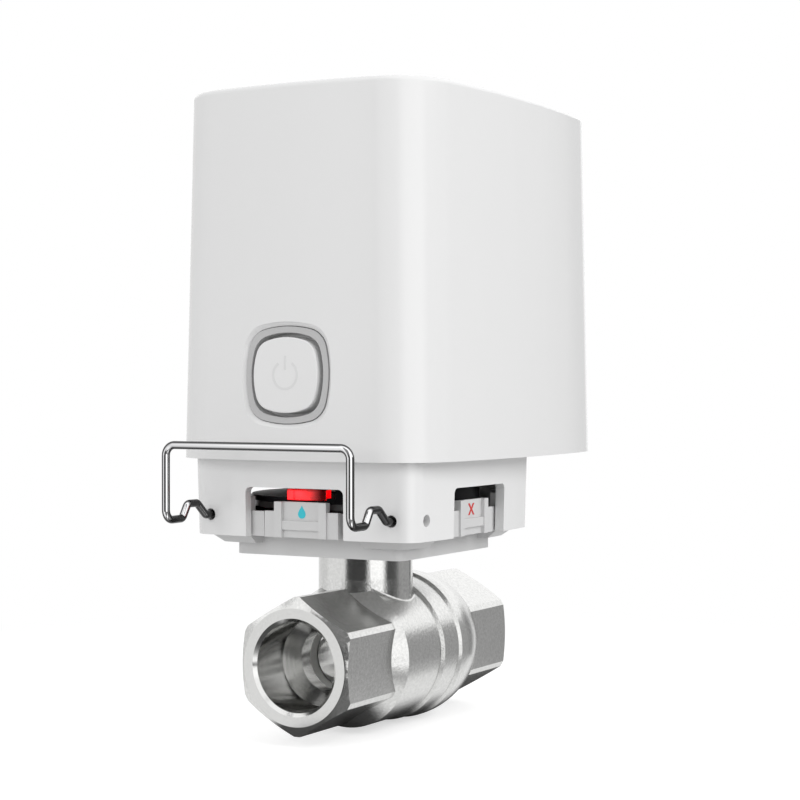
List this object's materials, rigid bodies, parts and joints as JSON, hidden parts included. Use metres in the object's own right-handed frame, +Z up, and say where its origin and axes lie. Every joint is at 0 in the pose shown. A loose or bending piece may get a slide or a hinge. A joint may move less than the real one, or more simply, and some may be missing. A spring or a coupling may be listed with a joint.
{
  "type": "smart water valve",
  "caption": "Motor-driven ball valve: a white actuator clipped on a nickel-plated threaded valve, with a dial behind windows, a front button and a steel wire clip.",
  "frame": {"origin": "on the pipe axis, at the inlet port, where its threaded wall begins behind the mouth's small bevel", "axes": "+Y along the pipe from inlet to outlet, away from the button side; +Z up along the stem; +X to the right when facing the button"},
  "size_m": [0.0712, 0.1081, 0.1435],
  "materials": {
    "plated_brass": "satin nickel plate",
    "machined_steel": "turned",
    "polished_steel": "polished",
    "screw_steel": "zinc plated",
    "seat_white": "smooth",
    "seal_rubber": "matt",
    "adapter_grey": "satin",
    "case_white": "satin",
    "ring_grey": "satin",
    "guide_clear": "clear",
    "dial_black": "smooth",
    "carrier_metal": "satin",
    "mark_red": "clear red",
    "gear_white": "moulded",
    "frame_grey": "moulded",
    "motor_metal": "plated",
    "motor_black": "moulded",
    "board_green": "lacquered",
    "contact_metal": "sprung",
    "cell_blue": "wrapped",
    "plunger_black": "moulded"
  },
  "bodies": {
    "valve_and_actuator": {"valve_body": "plated_brass", "end_cap": "plated_brass", "cap_seal": "seal_rubber", "seat_inlet": "seat_white", "seat_outlet": "seat_white", "stem_thrust_ring": "seat_white", "gland_washer": "screw_steel", "gland_nut": "plated_brass", "adapter_plate": "adapter_grey", "base_housing": "case_white", "output_bush": "machined_steel", "output_seal": "seal_rubber", "position_sensors": "motor_black", "gear_axles": "machined_steel", "gearbox_frame": "frame_grey", "frame_screws": "screw_steel", "motor": "motor_metal", "motor_cap": "motor_black", "motor_screws": "screw_steel", "main_board": "board_green", "board_screws": "screw_steel", "button_switch": "motor_black", "light_guides": "guide_clear", "radio_module": "motor_metal", "antenna": "contact_metal", "capacitors": "motor_black", "supply_terminals": "board_green", "battery_holder": "frame_grey", "battery_contacts": "contact_metal", "battery_cells": "cell_blue", "upper_case": "case_white", "case_seal": "seal_rubber", "case_screws": "screw_steel", "light_ring": "ring_grey"},
    "drive": {"ball": "polished_steel", "stem": "machined_steel", "stem_seals": "seal_rubber", "dial_carrier": "carrier_metal", "indicator_dial": "dial_black", "indicator_mark": "mark_red", "output_gear": "gear_white", "position_magnet": "contact_metal"},
    "second_stage": {"second_gear": "gear_white"},
    "first_stage": {"first_gear": "gear_white"},
    "motor_rotor": {"motor_shaft": "machined_steel", "motor_pinion": "machined_steel"},
    "button": {"function_button": "case_white", "switch_plunger": "plunger_black"},
    "clip": {"retaining_clip": "polished_steel"}
  },
  "joints": [
    {"name": "valve_turn", "type": "hinge", "parent": "valve_and_actuator", "child": "drive", "pos_m": [0, 0.0299, 0], "axis": [0, 0, 1], "range_deg": [0, 90]},
    {"name": "second_gear_spin", "type": "hinge", "parent": "valve_and_actuator", "child": "second_stage", "pos_m": [-0.01285, 0.04825, 0.06], "axis": [0, 0, 1], "range_deg": [-335, 5]},
    {"name": "first_gear_spin", "type": "hinge", "parent": "valve_and_actuator", "child": "first_stage", "pos_m": [0.00068, 0.05317, 0.06], "axis": [0, 0, 1], "range_deg": [-5, 995]},
    {"name": "motor_spin", "type": "hinge", "parent": "valve_and_actuator", "child": "motor_rotor", "pos_m": [0.01151, 0.04692, 0.06], "axis": [0, 0, 1], "range_deg": [-3970, 10]},
    {"name": "button_press", "type": "slide", "parent": "valve_and_actuator", "child": "button", "axis": [0, 0.9998, -0.0184], "range_m": [0, 0.0005], "stiffness_N_per_m": 1000, "springref_m": -0.001},
    {"name": "clip_pull", "type": "slide", "parent": "valve_and_actuator", "child": "clip", "axis": [0, -1, 0], "range_m": [0, 0.056]}
  ],
  "couplings": [
    {"joint": "second_gear_spin", "follows": "valve_turn", "ratio": -3.6667},
    {"joint": "first_gear_spin", "follows": "valve_turn", "ratio": 11},
    {"joint": "motor_spin", "follows": "valve_turn", "ratio": -44}
  ]
}
